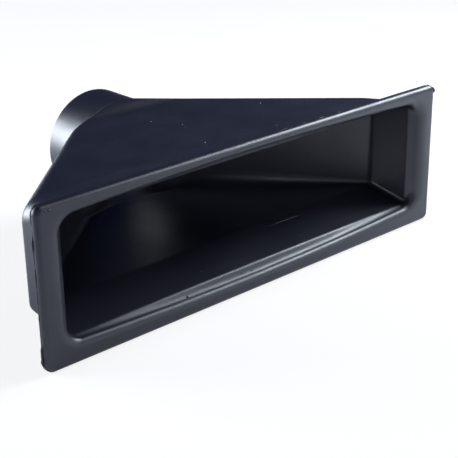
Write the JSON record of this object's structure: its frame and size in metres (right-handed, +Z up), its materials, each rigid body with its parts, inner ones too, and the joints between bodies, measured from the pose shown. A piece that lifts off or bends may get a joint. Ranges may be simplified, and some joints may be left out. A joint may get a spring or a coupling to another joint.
{
  "type": "ducted air intake vent",
  "caption": "One-piece moulded air intake duct: a flanged rectangular mouth narrows through a hopper with slanted walls to a round spigot for a flexible hose.",
  "frame": {"origin": "middle of the flange, on the plane where the back edge of its turned-back rim meets the panel", "axes": "+X across the mouth, +Y back through the panel along the hose axis, +Z up"},
  "size_m": [0.27, 0.1474, 0.082],
  "materials": {
    "black_abs": "semi-gloss, as vacuum-formed"
  },
  "bodies": {
    "root": {"intake_vent": "black_abs"}
  },
  "joints": []
}
